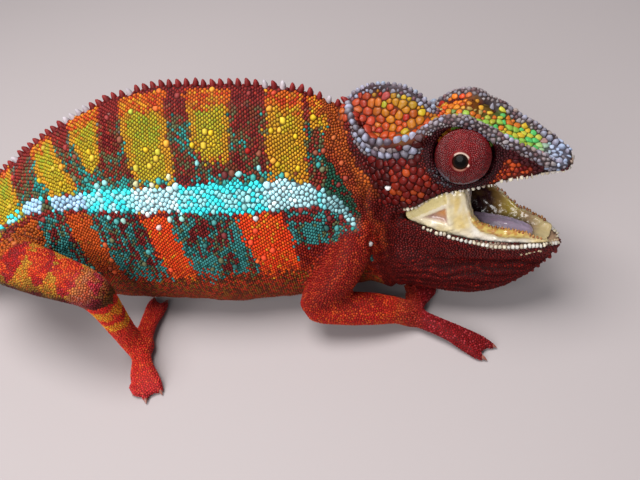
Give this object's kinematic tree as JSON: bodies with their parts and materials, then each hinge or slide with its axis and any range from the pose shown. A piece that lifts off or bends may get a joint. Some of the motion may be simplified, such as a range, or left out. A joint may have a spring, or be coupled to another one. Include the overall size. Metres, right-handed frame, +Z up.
{
  "type": "panther chameleon model",
  "caption": "Panther chameleon standing low on the floor with its mouth open, casqued head turned aside, banded scaly body and a curved tail laid behind.",
  "frame": {"origin": "middle of the model's box, on the floor it stands on", "axes": "+X the way the trunk points, towards the head; +Y the animal's left side; +Z up"},
  "size_m": [0.3436, 0.1694, 0.0629],
  "materials": {
    "head": "dry scaled skin",
    "lower_jaw": "dry scaled skin",
    "throat": "dry scaled skin",
    "neck": "dry scaled skin",
    "trunk": "dry scaled skin",
    "tail_1": "dry scaled skin",
    "tail_2": "dry scaled skin",
    "tail_3": "dry scaled skin",
    "tail_4": "dry scaled skin",
    "right_upper_arm": "dry scaled skin",
    "right_forearm": "dry scaled skin",
    "right_hand": "dry scaled skin",
    "right_thigh": "dry scaled skin",
    "right_shin": "dry scaled skin",
    "right_foot": "dry scaled skin",
    "left_upper_arm": "dry scaled skin",
    "left_forearm": "dry scaled skin",
    "left_hand": "dry scaled skin",
    "left_thigh": "dry scaled skin",
    "left_shin": "dry scaled skin",
    "left_foot": "dry scaled skin",
    "mouth_lining": "wet cream lining",
    "tongue": "wet lavender flesh",
    "eye_turret_left": "granular maroon skin",
    "eye_turret_right": "granular maroon skin",
    "eye_left": "clear wet eye",
    "eye_right": "clear wet eye",
    "right_hand_claw_1": "polished dark horn",
    "right_hand_claw_2": "polished dark horn",
    "right_hand_claw_3": "polished dark horn",
    "right_hand_claw_4": "polished dark horn",
    "right_hand_claw_5": "polished dark horn",
    "right_foot_claw_1": "polished dark horn",
    "right_foot_claw_2": "polished dark horn",
    "right_foot_claw_3": "polished dark horn",
    "right_foot_claw_4": "polished dark horn",
    "right_foot_claw_5": "polished dark horn",
    "left_hand_claw_1": "polished dark horn",
    "left_hand_claw_2": "polished dark horn",
    "left_hand_claw_3": "polished dark horn",
    "left_hand_claw_4": "polished dark horn",
    "left_hand_claw_5": "polished dark horn",
    "left_foot_claw_1": "polished dark horn",
    "left_foot_claw_2": "polished dark horn",
    "left_foot_claw_3": "polished dark horn",
    "left_foot_claw_4": "polished dark horn",
    "left_foot_claw_5": "polished dark horn"
  },
  "bodies": {
    "root": {"head": "head", "lower_jaw": "lower_jaw", "throat": "throat", "neck": "neck", "trunk": "trunk", "tail_1": "tail_1", "tail_2": "tail_2", "tail_3": "tail_3", "tail_4": "tail_4", "right_upper_arm": "right_upper_arm", "right_forearm": "right_forearm", "right_hand": "right_hand", "right_thigh": "right_thigh", "right_shin": "right_shin", "right_foot": "right_foot", "left_upper_arm": "left_upper_arm", "left_forearm": "left_forearm", "left_hand": "left_hand", "left_thigh": "left_thigh", "left_shin": "left_shin", "left_foot": "left_foot", "mouth_lining": "mouth_lining", "tongue": "tongue", "eye_turret_left": "eye_turret_left", "eye_turret_right": "eye_turret_right", "eye_left": "eye_left", "eye_right": "eye_right", "right_hand_claw_1": "right_hand_claw_1", "right_hand_claw_2": "right_hand_claw_2", "right_hand_claw_3": "right_hand_claw_3", "right_hand_claw_4": "right_hand_claw_4", "right_hand_claw_5": "right_hand_claw_5", "right_foot_claw_1": "right_foot_claw_1", "right_foot_claw_2": "right_foot_claw_2", "right_foot_claw_3": "right_foot_claw_3", "right_foot_claw_4": "right_foot_claw_4", "right_foot_claw_5": "right_foot_claw_5", "left_hand_claw_1": "left_hand_claw_1", "left_hand_claw_2": "left_hand_claw_2", "left_hand_claw_3": "left_hand_claw_3", "left_hand_claw_4": "left_hand_claw_4", "left_hand_claw_5": "left_hand_claw_5", "left_foot_claw_1": "left_foot_claw_1", "left_foot_claw_2": "left_foot_claw_2", "left_foot_claw_3": "left_foot_claw_3", "left_foot_claw_4": "left_foot_claw_4", "left_foot_claw_5": "left_foot_claw_5"}
  },
  "joints": []
}
